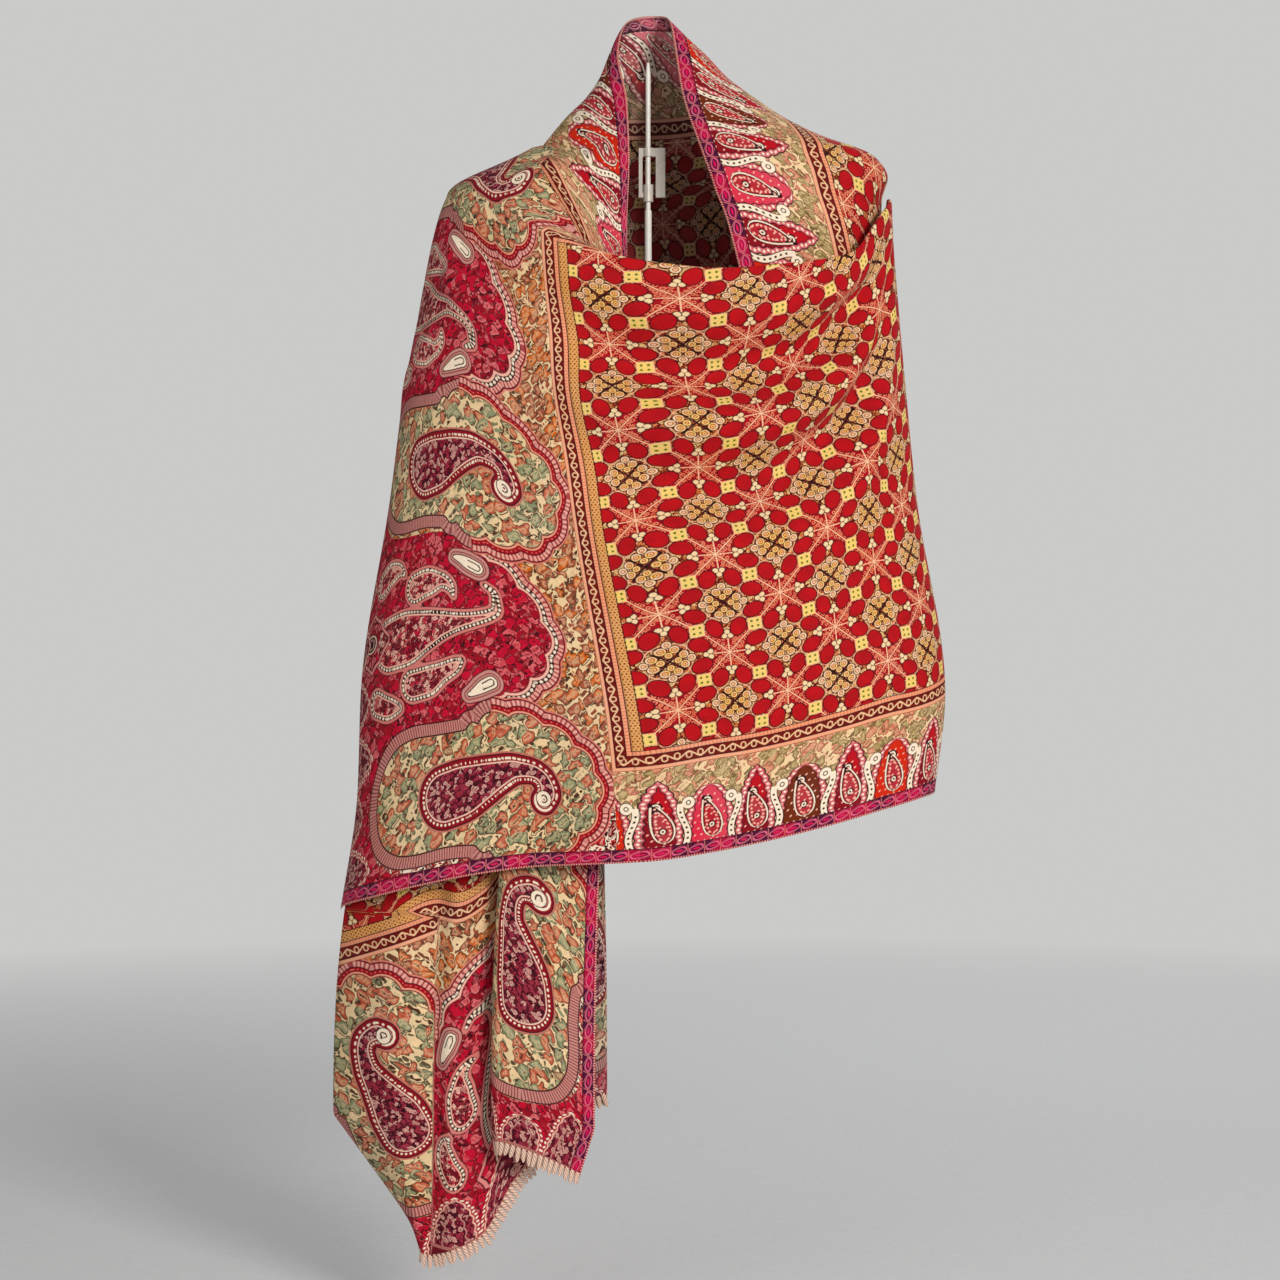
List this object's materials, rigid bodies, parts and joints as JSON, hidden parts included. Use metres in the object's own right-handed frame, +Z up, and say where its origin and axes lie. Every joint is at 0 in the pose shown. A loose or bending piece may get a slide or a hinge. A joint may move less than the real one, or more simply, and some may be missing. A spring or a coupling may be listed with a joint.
{
  "type": "kashmiri shawl on a display rod",
  "caption": "Patterned wool shawl draped as worn: a pleated tail in front, a standing collar, a deep cowl over the chest and an end thrown over the shoulder, held by a plain rod with a yoke.",
  "frame": {"origin": "centre of the flat end at the foot of the display rod, inside the shawl, level with the back hem", "axes": "+Z up along the rod, -Y to the front of the drape, +X to the right as seen from the front"},
  "size_m": [0.5646, 0.2516, 1.1609],
  "materials": {
    "field_cloth": "matte",
    "panel_cloth": "matte",
    "fringe_wool": "matte",
    "rod_white": "satin",
    "clip_clear": "gloss",
    "yoke_plain": "satin"
  },
  "bodies": {
    "root": {"back_stretch": "field_cloth", "front_stretch": "field_cloth", "thrown_end": "panel_cloth", "tail_end": "panel_cloth", "tail_fringe": "fringe_wool", "thrown_fringe": "fringe_wool", "rod_lower": "rod_white", "rod_upper": "rod_white", "rod_clip": "clip_clear", "shoulder_yoke": "yoke_plain"}
  },
  "joints": []
}
